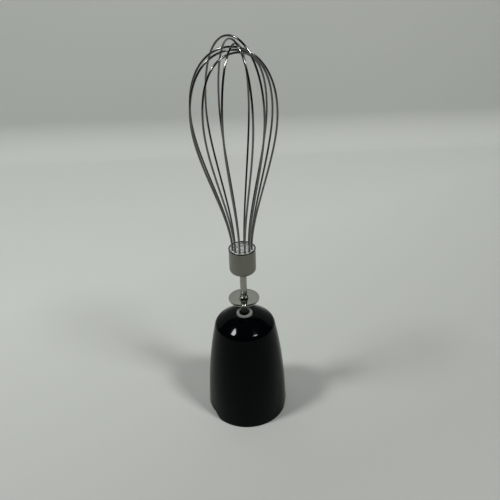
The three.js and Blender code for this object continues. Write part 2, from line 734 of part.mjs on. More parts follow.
// One leg from its end in the plug to the crown. turn is the loop's place in the stack of crowns, and
// side is 1 at the loop's first hole, -1 at the other.
function legCurves({ hole, sag, swing, wide, shift, lean }, turn, side) {
  const azimuth = firstHole + holePitch * hole + (side < 0 ? 180 : 0);
  const foot = towards(azimuth).multiplyScalar(wireCircle);
  const across = towards(azimuth + swing);
  const at = (flat, height) => flat.clone().setZ(height);
  const centre = across.clone().multiplyScalar(side * shift);
  const belly = across.clone().multiplyScalar(bellyRadius + wide).add(centre);
  const crown = centre.clone().addScaledVector(across, side * lean);
  const handle = crownReach * bellyRadius;
  const crownHandle = across.clone().multiplyScalar(handle).add(crown);
  const rise = bellyHeight - legTop;
  const legHandle = legTop + legReach * rise;
  const lowHandle = bellyHeight - bellyReachDown * rise;
  const highHandle = bellyHeight + bellyReachUp * (crossing - bellyHeight);
  // A crown off the axis stands above the crossing by its curvature.
  const above = (shift + lean) ** 2 * (crossing - highHandle) / (3 * handle ** 2);
  const crownHeight = crossing - turn * (2 * wireRadius + gap) - sag + above;
  return [
    new THREE.LineCurve3(at(foot, wireBottom), at(foot, legTop)),
    new THREE.CubicBezierCurve3(
      at(foot, legTop), at(foot, legHandle), at(belly, lowHandle), at(belly, bellyHeight),
    ),
    new THREE.CubicBezierCurve3(
      at(belly, bellyHeight), at(belly, highHandle), at(crownHandle, crownHeight), at(crown, crownHeight),
    ),
  ];
}

// The same curve from its other end.
function reversed(curve) {
  const names = curve.isLineCurve3 ? ['v1', 'v2'] : ['v0', 'v1', 'v2', 'v3'];
  return new curve.constructor(...names.map((name) => curve[name]).reverse());
}

loops.forEach((loop, i) => {
  const path = new THREE.CurvePath();
  for (const curve of legCurves(loop, i, 1)) path.add(curve);
  for (const curve of legCurves(loop, i, -1).reverse()) path.add(reversed(curve));
  addPiece(`wire_loop_${i + 1}`, bar(path, wireRadius, 56, 6), steelWire);
});

export default assembly;
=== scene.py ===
from math import atan2, cos, hypot, pi, radians, sin, sqrt

import bpy
from mathutils import Matrix, Vector


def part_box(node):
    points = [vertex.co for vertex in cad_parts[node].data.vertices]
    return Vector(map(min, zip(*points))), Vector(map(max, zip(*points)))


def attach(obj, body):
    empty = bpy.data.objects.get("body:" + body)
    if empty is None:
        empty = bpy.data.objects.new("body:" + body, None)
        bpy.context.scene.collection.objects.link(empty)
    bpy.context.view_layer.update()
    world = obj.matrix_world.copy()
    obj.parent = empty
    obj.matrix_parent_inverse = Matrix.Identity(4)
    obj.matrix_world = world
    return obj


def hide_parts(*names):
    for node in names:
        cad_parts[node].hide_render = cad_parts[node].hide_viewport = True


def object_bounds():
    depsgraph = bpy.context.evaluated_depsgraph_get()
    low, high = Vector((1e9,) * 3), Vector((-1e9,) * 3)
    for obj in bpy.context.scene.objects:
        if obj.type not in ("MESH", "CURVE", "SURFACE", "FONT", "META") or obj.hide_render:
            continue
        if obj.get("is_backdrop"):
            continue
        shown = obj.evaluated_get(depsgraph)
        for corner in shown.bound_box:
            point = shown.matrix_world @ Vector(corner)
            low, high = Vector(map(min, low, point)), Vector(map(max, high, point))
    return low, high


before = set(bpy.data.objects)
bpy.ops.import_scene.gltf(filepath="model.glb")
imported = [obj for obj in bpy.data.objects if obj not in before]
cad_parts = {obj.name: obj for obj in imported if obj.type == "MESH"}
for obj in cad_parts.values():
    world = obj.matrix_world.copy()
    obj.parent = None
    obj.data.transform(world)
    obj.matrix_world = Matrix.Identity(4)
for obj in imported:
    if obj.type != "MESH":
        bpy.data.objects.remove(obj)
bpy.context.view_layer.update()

scene = bpy.context.scene

# ------------------------------------------------------------------ camera
# It stands about forty centimetres from the whisk and a little above its top, looks down at about
# thirty degrees and is rolled slightly on its own axis.
eye = Vector((0.0, -0.348, 0.346))
pitch = radians(30.96)
yaw = radians(0.88)
roll = radians(-1.8)
ahead = Vector((sin(yaw) * cos(pitch), cos(yaw) * cos(pitch), -sin(pitch)))
level = Vector((cos(yaw), -sin(yaw), 0.0))
upward = level.cross(ahead)
right = level * cos(roll) + upward * sin(roll)
upright = upward * cos(roll) - level * sin(roll)
camera_data = bpy.data.cameras.new("camera")
camera_data.sensor_width = 36.0
camera_data.lens = 43.2
camera_data.clip_start = 0.01
camera = bpy.data.objects.new("camera", camera_data)
camera.matrix_world = Matrix((right, upright, -ahead)).transposed().to_4x4()
camera.location = eye
scene.collection.objects.link(camera)
scene.camera = camera
scene.view_settings.view_transform = "Standard"

# ------------------------------------------------------------------ floor and backdrop
# One sheet of pale matt card that lies flat under the whisk and sweeps up behind it.


def linear(code, alpha=1.0):
    """An sRGB hex colour as linear red, green, blue and alpha."""
    channels = [int(code[i:i + 2], 16) / 255 for i in (1, 3, 5)]
    steps = [c / 12.92 if c <= 0.04045 else ((c + 0.055) / 1.055) ** 2.4 for c in channels]
    return (*steps, alpha)


def new_material(name):
    """An empty node material."""
    made = bpy.data.materials.new(name)
    made.use_nodes = True
    made.node_tree.nodes.clear()
    return made


def node(material, kind, inputs=None, **settings):
    """Adds a shader node. Settings are its properties; inputs are socket values or linked outputs."""
    made = material.node_tree.nodes.new("ShaderNode" + kind)
    for name, value in settings.items():
        setattr(made, name, value)
    for name, value in (inputs or {}).items():
        if isinstance(value, bpy.types.NodeSocket):
            material.node_tree.links.new(value, made.inputs[name])
        else:
            made.inputs[name].default_value = value
    return made


card_width = 2.4
card_front = -1.1
card_back = 0.55
card_height = 0.75
sweep_radius = 0.05
bpy.ops.object.select_all(action="DESELECT")
flat_back = card_back - sweep_radius
bpy.ops.mesh.primitive_plane_add(size=1.0, location=(0, (card_front + flat_back) / 2, 0))
card = bpy.context.object
card.name = "backdrop"
card.scale = (card_width, flat_back - card_front, 1)
bpy.ops.object.transform_apply(location=True, rotation=True, scale=True)
bpy.ops.object.mode_set(mode="EDIT")
bpy.ops.mesh.select_all(action="DESELECT")
bpy.ops.object.mode_set(mode="OBJECT")
for edge in card.data.edges:
    ends = [card.data.vertices[i].co.y for i in edge.vertices]
    edge.select = min(ends) > flat_back - 0.001
bpy.ops.object.mode_set(mode="EDIT")
sweep_steps = 16
place = Vector((0, flat_back, 0))
for step in range(1, sweep_steps + 1):
    turned = radians(90) * step / sweep_steps
    following = Vector((0, flat_back + sweep_radius * sin(turned), sweep_radius * (1 - cos(turned))))
    bpy.ops.mesh.extrude_region_move(TRANSFORM_OT_translate={"value": following - place})
    place = following
bpy.ops.mesh.extrude_region_move(TRANSFORM_OT_translate={"value": (0, 0, card_height - sweep_radius)})
bpy.ops.mesh.select_all(action="SELECT")
bpy.ops.mesh.normals_make_consistent(inside=False)
bpy.ops.object.mode_set(mode="OBJECT")
bpy.ops.object.shade_smooth()

# Pale grey card: a faint tooth keeps it from looking like plastic, and a painted shade darkens its
# tone a little towards the front and the right.
card_finish = new_material("matt card")
place_on = node(card_finish, "TexCoord").outputs["Object"]
tooth = node(card_finish, "TexNoise", {"Vector": place_on, "Scale": 900.0, "Detail": 3.0})
tint = node(card_finish, "TexNoise", {"Vector": place_on, "Scale": 2.0, "Detail": 2.0})
pale = node(card_finish, "MixRGB", {"Fac": tint.outputs["Fac"], "Color1": linear("#b9bdb8"),
                                    "Color2": linear("#c0c3be")})
# Painted shade: a mask that grows towards the front and the right, where the card is painted darker.
lean = node(card_finish, "VectorMath", {0: place_on, 1: (0.5, -1.0, 0.0)}, operation="DOT_PRODUCT")
painted_shade_mask = node(card_finish, "MapRange", {"Value": lean.outputs["Value"], "From Min": -0.25, "From Max": 0.10,
                                         "To Min": 0.0, "To Max": 1.0})
shade = node(card_finish, "MixRGB", {"Fac": painted_shade_mask.outputs["Result"], "Color1": pale.outputs["Color"],
                                     "Color2": linear("#a5a8a3")})
relief = node(card_finish, "Bump", {"Height": tooth.outputs["Fac"], "Strength": 0.04, "Distance": 0.0002})
matt = node(card_finish, "BsdfPrincipled", {
    "Base Color": shade.outputs["Color"], "Roughness": 0.85, "Normal": relief.outputs["Normal"],
})
node(card_finish, "OutputMaterial", {"Surface": matt.outputs["BSDF"]})
card.data.materials.append(card_finish)
card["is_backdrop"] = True

# ------------------------------------------------------------------ lights
# Two square soft boxes over the whisk, left and right, a wide dim panel overhead that gloss
# doesn't mirror, and a dark room.


def soft_box(name, location, size, power, mirrored=True):
    """A square area light that faces the whisk."""
    lamp = bpy.data.lights.new(name, "AREA")
    lamp.shape = "SQUARE"
    lamp.size = size
    lamp.energy = power
    box = bpy.data.objects.new(name, lamp)
    box.location = location
    box.rotation_euler = (Vector((0, 0.05, 0.1)) - Vector(location)).to_track_quat("-Z", "Y").to_euler()
    box.visible_glossy = mirrored
    scene.collection.objects.link(box)
    return box


soft_box("left soft box", (-0.84, -0.28, 1.57), 0.25, 16)
soft_box("right soft box", (0.77, -0.60, 1.52), 0.29, 16)
soft_box("overhead panel", (-0.5, 0.35, 2.3), 2.0, 9, mirrored=False)
world = bpy.data.worlds.new("room")
world.use_nodes = True
world.node_tree.nodes["Background"].inputs["Color"].default_value = linear("#6d716e")
world.node_tree.nodes["Background"].inputs["Strength"].default_value = 0.12
scene.world = world

# ------------------------------------------------------------------ outer housing
# Bell-shaped shell, injection moulded in gloss black ABS with a mirror-polished mould. It carries
# the gearbox on ribs and screw bosses inside, and its open rim has a shallow cut-out on two sides.
mm = 0.001


def turn(name, profile, sides):
    """Turns a profile of (radius, height) in millimetres into a closed piece. One that returns to its
    start is a ring, and any other gets a flat face at each end."""
    is_ring = profile[0] == profile[-1]
    radius, height = profile[0]
    bpy.ops.object.select_all(action="DESELECT")
    bpy.ops.mesh.primitive_circle_add(
        vertices=sides, radius=radius * mm, location=(0, 0, height * mm),
        fill_type="NOTHING" if is_ring else "NGON",
    )
    made = bpy.context.object
    made.name = name
    bpy.ops.object.transform_apply(location=True, rotation=True, scale=True)
    bpy.ops.object.mode_set(mode="EDIT")
    bpy.ops.mesh.select_mode(type="EDGE")
    bpy.ops.mesh.select_all(action="SELECT")
    for next_radius, next_height in profile[1:]:
        rise = (0, 0, (next_height - height) * mm)
        bpy.ops.mesh.extrude_edges_move(TRANSFORM_OT_translate={"value": rise})
        share = next_radius / radius
        bpy.ops.transform.resize(value=(share, share, 1), center_override=(0, 0, next_height * mm))
        radius, height = next_radius, next_height
    if not is_ring:
        bpy.ops.mesh.edge_face_add()
    bpy.ops.mesh.select_all(action="SELECT")
    bpy.ops.mesh.remove_doubles(threshold=0.00001)
    bpy.ops.mesh.normals_make_consistent(inside=False)
    bpy.ops.mesh.select_mode(type="VERT")
    bpy.ops.object.mode_set(mode="OBJECT")
    return made


def smooth_by_angle(piece, degrees):
    """Shades a piece smooth, apart from edges sharper than the angle."""
    bpy.ops.object.select_all(action="DESELECT")
    piece.select_set(True)
    bpy.context.view_layer.objects.active = piece
    bpy.ops.object.shade_smooth_by_angle(angle=radians(degrees))


def bezier(points, steps):
    """Points along a quadratic or cubic Bezier curve, given its control points."""
    order = len(points) - 1
    weights = {2: (1, 2, 1), 3: (1, 3, 3, 1)}[order]
    made = []
    for step in range(steps + 1):
        t = step / steps
        terms = [w * t ** k * (1 - t) ** (order - k) for k, w in enumerate(weights)]
        made.append(tuple(sum(term * p[axis] for term, p in zip(terms, points)) for axis in (0, 1)))
    return made


def finish(piece, material, body, slot, *nodes):
    """Gives a piece its material and its body, and hides the CAD nodes that it stands for. The slot is not
    used.
    """
    piece.data.materials.clear()
    piece.data.materials.append(material)
    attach(piece, body)
    if nodes:
        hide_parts(*nodes)


rim = 30.0
rim_inset = 0.7
side_fullness = 4.6
shoulder = 21.9
shoulder_height = 75.5
shoulder_round = 2.4
shoulder_rise = 3.35
wall = 2.2
gap = 0.3
hub = 5.7
hub_hole = hub + gap + 0.05
dome_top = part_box("outer_housing")[1].z / mm
dome_rise = dome_top - shoulder_height
side = bezier([
    (rim, 0.0), (rim - rim_inset, 0.4 * shoulder_height),
    (shoulder + side_fullness, 0.73 * shoulder_height), (shoulder, shoulder_height),
], 40)
shoulder_end = (shoulder - shoulder_round, shoulder_height + shoulder_rise)
shoulder_curve = bezier([
    (shoulder, shoulder_height),
    (shoulder - 0.2 * shoulder_round, shoulder_height + 0.6 * shoulder_rise), shoulder_end,
], 12)
lip = 0.35
dome = bezier([
    shoulder_end, (0.62 * shoulder, shoulder_height + 0.3 * shoulder_rise + 0.7 * dome_rise),
    (0.545 * shoulder, dome_top - 0.9), (hub_hole + lip, dome_top),
], 20)
rim_round = 0.45
above_rim = [p for p in side if p[1] > rim_round + 0.15]
outer_rim = [(rim - 0.35, 0.0), (rim - 0.1, 0.12), (rim, rim_round)]
outside = [*outer_rim, *above_rim, *shoulder_curve[1:], *dome[1:]]
hub_opening = [(hub_hole + 0.1, dome_top - 0.15), (hub_hole, dome_top - 0.5), (hub_hole, dome_top - wall)]
under_dome = [(r - wall, z - wall) for r, z in dome[:-4]]
inner_side = [(r - wall, z) for r, z in above_rim if z < shoulder_height - wall]
inside = [*reversed(under_dome), *reversed(inner_side)]
inner_rim = [(rim - wall, rim_round), (rim - wall + 0.15, 0.12), (rim - wall + 0.4, 0.0)]
housing = turn("housing_shell", [*outside, *hub_opening, *inside, *inner_rim, outside[0]], 192)

# The rim rises over the cut-outs, and the wall above it closes up within a few millimetres.
cutout_azimuth = radians(-80)
cutout_half = 17.5
cutout_depth = 4.5
cutout_ease = 6.3
fade = 9.0
for vertex in housing.data.vertices:
    x, y, z = vertex.co / mm
    if z > fade:
        continue
    for azimuth in (cutout_azimuth, cutout_azimuth + pi):
        along = x * cos(azimuth) + y * sin(azimuth)
        outward = x * sin(azimuth) - y * cos(azimuth)
        if outward < 0:
            continue
        share = min(1.0, max(0.0, (cutout_half - abs(along)) / cutout_ease))
        raised = cutout_depth * share * share * (3 - 2 * share)
        vertex.co.z = (z + raised * (1 - z / fade)) * mm
smooth_by_angle(housing, 35)

# Gloss black ABS: mirror finish with a trace of orange peel from the mould, fine wiping marks that
# only show in the highlights, and a little dust.
gloss_abs = new_material("gloss black ABS")
place_on = node(gloss_abs, "TexCoord").outputs["Object"]
peel = node(gloss_abs, "TexNoise", {"Vector": place_on, "Scale": 350.0, "Detail": 2.0, "Roughness": 0.4})
stretch = node(gloss_abs, "Mapping", {"Vector": place_on, "Scale": (1.0, 1.0, 0.12),
                                      "Rotation": (0.2, 0.35, 0.0)})
wiping = node(gloss_abs, "TexNoise", {"Vector": stretch.outputs["Vector"], "Scale": 2600.0, "Detail": 4.0})
smear = node(gloss_abs, "TexNoise", {"Vector": place_on, "Scale": 60.0, "Detail": 5.0, "Roughness": 0.6})
marks = node(gloss_abs, "Math", {0: wiping.outputs["Fac"], 1: smear.outputs["Fac"]}, operation="MULTIPLY")
polish = node(gloss_abs, "MapRange", {"Value": marks.outputs["Value"], "From Min": 0.12, "From Max": 0.42,
                                      "To Min": 0.045, "To Max": 0.13})
dust = node(gloss_abs, "TexVoronoi", {"Vector": place_on, "Scale": 420.0, "Randomness": 1.0})
speck = node(gloss_abs, "MapRange", {"Value": dust.outputs["Distance"], "From Min": 0.035, "From Max": 0.06,
                                     "To Min": 1.0, "To Max": 0.0})
patch = node(gloss_abs, "MapRange", {"Value": smear.outputs["Fac"], "From Min": 0.56, "From Max": 0.66,
                                     "To Min": 0.0, "To Max": 0.5})
lint = node(gloss_abs, "Math", {0: speck.outputs["Result"], 1: patch.outputs["Result"]},
            operation="MULTIPLY")
black = node(gloss_abs, "MixRGB", {"Fac": lint.outputs["Value"], "Color1": linear("#010304"),
                                   "Color2": linear("#333433")})
relief = node(gloss_abs, "Bump", {"Height": peel.outputs["Fac"], "Strength": 0.05, "Distance": 0.0002})
shell = node(gloss_abs, "BsdfPrincipled", {
    "Base Color": black.outputs["Color"], "Roughness": polish.outputs["Result"], "IOR": 1.17,
    "Normal": relief.outputs["Normal"],
})
node(gloss_abs, "OutputMaterial", {"Surface": shell.outputs["BSDF"]})
finish(housing, gloss_abs, "gearbox", "gloss_black", "outer_housing")

# ------------------------------------------------------------------ housing ribs and bosses
# Moulded in one with the housing: three bosses that take the cover's screws, each tied to the wall
# by a web, and six ribs under the dome that seat the gearbox casing.
cover_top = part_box("gearbox_cover")[1].z / mm
casing_top = 59.6
rib_thickness = 1.6
rib_inner = 10.3
sunk = 0.4
screw_circle = 21.33
screw_hole = 1.7
boss = 2.75
boss_top = 61.0


def slab(name, outline, thrust):
    """A closed slab: a flat outline of points in millimetres, pulled along a vector."""
    bpy.ops.object.select_all(action="DESELECT")
    bpy.ops.mesh.primitive_circle_add(vertices=len(outline), radius=mm, location=(0, 0, 0), fill_type="NGON")
    made = bpy.context.object
    made.name = name
    for vertex, place in zip(made.data.vertices, outline):
        vertex.co = Vector(place) * mm
    bpy.ops.object.mode_set(mode="EDIT")
    bpy.ops.mesh.select_all(action="SELECT")
    bpy.ops.mesh.extrude_region_move(TRANSFORM_OT_translate={"value": Vector(thrust) * mm})
    bpy.ops.mesh.select_all(action="SELECT")
    bpy.ops.mesh.normals_make_consistent(inside=False)
    bpy.ops.object.mode_set(mode="OBJECT")
    return made


def towards(azimuth):
    """The direction of an azimuth in degrees: 0 faces the front, and it grows to the right."""
    return Vector((sin(radians(azimuth)), -cos(radians(azimuth)), 0.0))


def stand(name, azimuth, profile, thickness):
    """An upright slab along an azimuth, from a profile of (radius, height)."""
    sideways = towards(azimuth + 90)
    outline = [towards(azimuth) * r - sideways * thickness / 2 + Vector((0, 0, z)) for r, z in profile]
    return slab(name, outline, sideways * thickness)


def joined(name, pieces):
    """Joins pieces into one object."""
    bpy.ops.object.select_all(action="DESELECT")
    for piece in pieces:
        piece.select_set(True)
    bpy.context.view_layer.objects.active = pieces[0]
    bpy.ops.object.join()
    pieces[0].name = name
    return pieces[0]


def moved(piece, offset):
    """Moves a piece and leaves its origin at the world's."""
    bpy.ops.object.select_all(action="DESELECT")
    piece.select_set(True)
    bpy.context.view_layer.objects.active = piece
    piece.location = Vector(offset) * mm
    bpy.ops.object.transform_apply(location=True, rotation=False, scale=False)
    return piece


# Ribs and webs sink a little way into the wall, so that the pieces are one.
in_wall = [(r - wall + sunk, z) for r, z in side if z < shoulder_height - wall]
in_dome = [(r + sunk, z + sunk) for r, z in under_dome]
ribs = []
for number in range(6):
    low = casing_top + gap
    edge = [p for p in in_wall if p[1] > low] + [p for p in in_dome if p[0] > rib_inner]
    profile = [(rib_inner, low), (edge[0][0], low), *edge, (rib_inner, edge[-1][1])]
    ribs.append(stand("rib", 30 + 60 * number, profile, rib_thickness))
for number in range(3):
    azimuth = 30 + 120 * number
    low = cover_top + gap
    chamfer = 0.15
    ring = [(boss - chamfer, low), (boss, low + chamfer), (boss, boss_top), (screw_hole, boss_top),
            (screw_hole, low + chamfer), (screw_hole + chamfer, low)]
    ribs.append(moved(turn("boss", [*ring, ring[0]], 48), towards(azimuth) * screw_circle))
    web_inner = screw_circle + boss - chamfer
    web_low = low + 2
    edge = [p for p in in_wall if web_low < p[1] < boss_top and p[0] >= web_inner]
    profile = [(web_inner, web_low), *edge, (web_inner, boss_top)]
    ribs.append(stand("web", azimuth, profile, rib_thickness))
housing_ribs = joined("housing_ribs", ribs)
smooth_by_angle(housing_ribs, 35)
finish(housing_ribs, gloss_abs, "gearbox", "gloss_black")

# ------------------------------------------------------------------ coupling collar
# Glass-filled nylon sleeve clipped into the housing's socket. Its three lugs lock the attachment to
# the blender's handle with a short turn.


def moulded(name, dark, light, roughness, grain=700.0, relief=0.08):
    """A moulded plastic: clouded colour, and a fine sparked texture that also roughens the gloss."""
    made = new_material(name)
    place_on = node(made, "TexCoord").outputs["Object"]
    cloud = node(made, "TexNoise", {"Vector": place_on, "Scale": 120.0, "Detail": 4.0})
    spark = node(made, "TexNoise", {"Vector": place_on, "Scale": grain * 3, "Detail": 3.0})
    colour = node(made, "MixRGB", {"Fac": cloud.outputs["Fac"], "Color1": linear(dark),
                                   "Color2": linear(light)})
    gloss = node(made, "MapRange", {"Value": spark.outputs["Fac"], "From Min": 0.3, "From Max": 0.7,
                                    "To Min": roughness - 0.06, "To Max": roughness + 0.08})
    bump = node(made, "Bump", {"Height": spark.outputs["Fac"], "Strength": relief, "Distance": 0.0001})
    shader = node(made, "BsdfPrincipled", {
        "Base Color": colour.outputs["Color"], "Roughness": gloss.outputs["Result"], "IOR": 1.45,
        "Normal": bump.outputs["Normal"],
    })
    node(made, "OutputMaterial", {"Surface": shader.outputs["BSDF"]})
    return made


# Glass-filled nylon: black with a grey cast, evenly matt.
dark_nylon = moulded("glass-filled nylon", "#1c1d1f", "#27282a", 0.5)
low, high = (end.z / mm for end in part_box("coupling_collar"))


def wall_radius(height):
    """Outer radius of the housing's side at a height."""
    below = max((p for p in side if p[1] <= height), key=lambda p: p[1])
    above = min((p for p in side if p[1] >= height), key=lambda p: p[1])
    share = (height - below[1]) / max(above[1] - below[1], 0.001)
    return below[0] + (above[0] - below[0]) * share


collar_wall = 1.6
chamfer = 0.4
heights = [low + chamfer + (high - low - 2 * chamfer) * step / 6 for step in range(7)]
outer = [(wall_radius(z) - wall - gap, z) for z in heights]
first, last = outer[0][0], outer[-1][0]
ring = [(first - chamfer, low), *outer, (last - chamfer, high), (last - collar_wall + chamfer, high)]
ring += [(r - collar_wall, z) for r, z in reversed(outer)] + [(first - collar_wall + chamfer, low)]
collar_parts = [turn("collar", [*ring, ring[0]], 144)]
lug_low = low + 5
lug_height = 4
lug_angle = 32
lug_reach = 2.0
lug_outer = wall_radius(lug_low + lug_height) - wall - gap - collar_wall / 2
lug_inner = lug_outer - collar_wall / 2 - lug_reach


def apply_modifier(piece, kind, **settings):
    """Adds a modifier to a piece, sets it and applies it."""
    bpy.ops.object.select_all(action="DESELECT")
    piece.select_set(True)
    bpy.context.view_layer.objects.active = piece
    made = piece.modifiers.new(kind.lower(), kind)
    for name, value in settings.items():
        setattr(made, name, value)
    bpy.ops.object.modifier_apply(modifier=made.name)
    return piece


for number in range(3):
    azimuths = [120 * number - lug_angle / 2 + lug_angle * step / 16 for step in range(17)]
    outline = [towards(a) * lug_outer + Vector((0, 0, lug_low)) for a in azimuths]
    outline += [towards(a) * lug_inner + Vector((0, 0, lug_low)) for a in reversed(azimuths)]
    lug = slab("lug", outline, (0, 0, lug_height))
    collar_parts.append(apply_modifier(lug, "BEVEL", width=0.4 * mm, segments=3, angle_limit=radians(40)))
collar = joined("handle_collar", collar_parts)
smooth_by_angle(collar, 35)
finish(collar, dark_nylon, "gearbox", "dark_plastic", "coupling_collar")

# ------------------------------------------------------------------ gearbox cover
# Glass-filled nylon plate that closes the gearbox from below. Three ears take the screws, six
# shallow ribs stiffen it, and a collar in the middle holds the input shaft's bush.
plate_thickness = 2.5
low = cover_top - plate_thickness
casing_radius = 18.28
ear = 2.8
bush_hole = 4.75
bush_collar_low = low - 2
stiffener_thickness = 1.2


def cover_radius(azimuth):
    """The plate's edge: a circle with three ears around the screws."""
    away = radians((azimuth - 30 + 60) % 120 - 60)
    if abs(sin(away)) * screw_circle >= ear:
        return casing_radius
    return screw_circle * cos(away) + sqrt(ear ** 2 - (screw_circle * sin(away)) ** 2)


azimuths = [1.5 * step for step in range(240)]
outline = [towards(a) * cover_radius(a) + Vector((0, 0, low)) for a in azimuths]
plate = slab("cover", outline, (0, 0, plate_thickness))
apply_modifier(plate, "BEVEL", width=0.3 * mm, segments=2, angle_limit=radians(50))
ring = [(bush_hole + 0.2, bush_collar_low), (bush_hole + 1.3, bush_collar_low),
        (bush_hole + 1.5, bush_collar_low + 0.2), (bush_hole + 1.5, low - 0.3),
        (bush_hole + 1.9, low + 0.05), (bush_hole, low + 0.05), (bush_hole, bush_collar_low + 0.2)]
cover_parts = [plate, turn("bush collar", [*ring, ring[0]], 96)]
for number in range(6):
    profile = [(bush_hole + 1.2, low + 0.2), (bush_hole + 1.2, low - 1.2), (bush_hole + 2, low - 1.6),
               (casing_radius - 3, low - 1.0), (casing_radius - 2.2, low + 0.2)]
    rib = stand("cover rib", 60 * number, profile, stiffener_thickness)
    cover_parts.append(apply_modifier(rib, "BEVEL", width=0.2 * mm, segments=2, angle_limit=radians(40)))
cover = joined("gearbox_plate", cover_parts)
cover_holes = [turn("hole", [(bush_hole, bush_collar_low - 1), (bush_hole, cover_top + 1)], 48)]
for number in range(3):
    hole = turn("hole", [(screw_hole, low - 1), (screw_hole, cover_top + 1)], 32)
    cover_holes.append(moved(hole, towards(30 + 120 * number) * screw_circle))


def carved(piece, cutter):
    """Cuts a cutter's shape out of a piece and removes the cutter."""
    apply_modifier(piece, "BOOLEAN", operation="DIFFERENCE", object=cutter, solver="EXACT", use_self=True)
    bpy.ops.object.select_all(action="DESELECT")
    cutter.select_set(True)
    bpy.ops.object.delete()
    return piece


carved(cover, joined("holes", cover_holes))
smooth_by_angle(cover, 35)
finish(cover, dark_nylon, "gearbox", "dark_plastic", "gearbox_cover")

# ------------------------------------------------------------------ cover screws
# Pan-head thread-forming screws, zinc-plated and pale, that hold the cover on the housing's bosses.
# They stand head down, with a cross recess.


def worked_metal(name, dark, light, roughness, stretch, relief=0.05, spread=0.06):
    """A metal whose fine working marks run along one direction, clouded a little in tone."""
    made = new_material(name)
    place_on = node(made, "TexCoord").outputs["Object"]
    drawn = node(made, "Mapping", {"Vector": place_on, "Scale": stretch})
    marks = node(made, "TexNoise", {"Vector": drawn.outputs["Vector"], "Scale": 3000.0, "Detail": 3.0})
    cloud = node(made, "TexNoise", {"Vector": place_on, "Scale": 110.0, "Detail": 3.0})
    colour = node(made, "MixRGB", {"Fac": cloud.outputs["Fac"], "Color1": linear(dark),
                                   "Color2": linear(light)})
    gloss = node(made, "MapRange", {"Value": marks.outputs["Fac"], "From Min": 0.3, "From Max": 0.7,
                                    "To Min": roughness - spread, "To Max": roughness + spread})
    bump = node(made, "Bump", {"Height": marks.outputs["Fac"], "Strength": relief, "Distance": 0.00005})
    shader = node(made, "BsdfPrincipled", {
        "Base Color": colour.outputs["Color"], "Metallic": 1.0, "Roughness": gloss.outputs["Result"],
        "Normal": bump.outputs["Normal"],
    })
    node(made, "OutputMaterial", {"Surface": shader.outputs["BSDF"]})
    return made


# Zinc plating, passivated: pale grey with a faint blue cast, satin.
zinc = worked_metal("zinc plating", "#9fa2a4", "#b4b6b5", 0.32, (1.0, 1.0, 0.5))
head = 2.6
head_height = 1.8
core = 1.15
crest = 1.38
thread_pitch = 0.95
tip_length = 1.6
recess_width = 0.62
recess_depth = 1.1
for number in range(3):
    low, high = (end.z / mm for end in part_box(f"cover_screw_{number + 1}"))
    under_head = low + head_height
    thread = under_head + 1.0
    profile = [(1.5, low), (2.1, low + 0.12), (head - 0.1, low + 0.45), (head, low + 0.9),
               (head, under_head - 0.1), (head - 0.1, under_head), (core, under_head), (core, thread)]
    while thread < high - tip_length:
        profile += [(crest, thread + 0.45), (core, thread + 0.7), (core, thread + thread_pitch)]
        thread += thread_pitch
    profile += [(0.3, high)]
    screw = turn(f"screw_{number + 1}", profile, 64)
    recess_floor = low + recess_depth
    recess = [(-1.35, low - 1), (1.35, low - 1), (0.7, recess_floor), (-0.7, recess_floor)]
    cross = [stand("cross", azimuth, recess, recess_width) for azimuth in (0, 90)]
    carved(screw, joined("cross", cross))
    moved(screw, towards(30 + 120 * number) * screw_circle)
    smooth_by_angle(screw, 30)
    finish(screw, zinc, "gearbox", "zinc_screw", f"cover_screw_{number + 1}")

# ------------------------------------------------------------------ drive coupling
# Glass-filled nylon socket pressed on the input shaft's end. The motor's six-sided dog enters it
# from below, led in by a chamfer.
low, high = (end.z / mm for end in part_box("drive_coupling"))


def six_sided(piece, chosen):
    """Draws the chosen round vertices of a piece in onto a hexagon with a corner to the front."""
    for vertex in piece.data.vertices:
        radius = hypot(vertex.co.x, vertex.co.y)
        if chosen(radius / mm, vertex.co.z / mm):
            away = atan2(vertex.co.x, -vertex.co.y) % radians(60) - radians(30)
            share = cos(radians(30)) / cos(away)
            vertex.co.x *= share
            vertex.co.y *= share
    return piece


socket = 4.6
lead_in = 0.8
shaft_hole = 2.9
sleeve = 7.5
waist = sleeve - 0.3
neck = 5.7
roof = high - 3.5
ring = [(socket + lead_in, low), (sleeve - 0.6, low), (sleeve - 0.2, low + 0.2), (sleeve, low + 0.6),
        (sleeve, low + 3), (waist, low + 3.3), (waist, roof - 0.6), (sleeve, roof - 0.3), (sleeve, roof),
        (neck, high - 0.2), (neck - 0.3, high), (shaft_hole, high), (shaft_hole, roof), (socket, roof - gap),
        (socket, low + lead_in)]
coupling = turn("motor_coupling", [*ring, ring[0]], 144)
six_sided(coupling, lambda radius, height: radius < socket + lead_in + 0.1)
smooth_by_angle(coupling, 12)
finish(coupling, dark_nylon, "input", "dark_plastic", "drive_coupling")

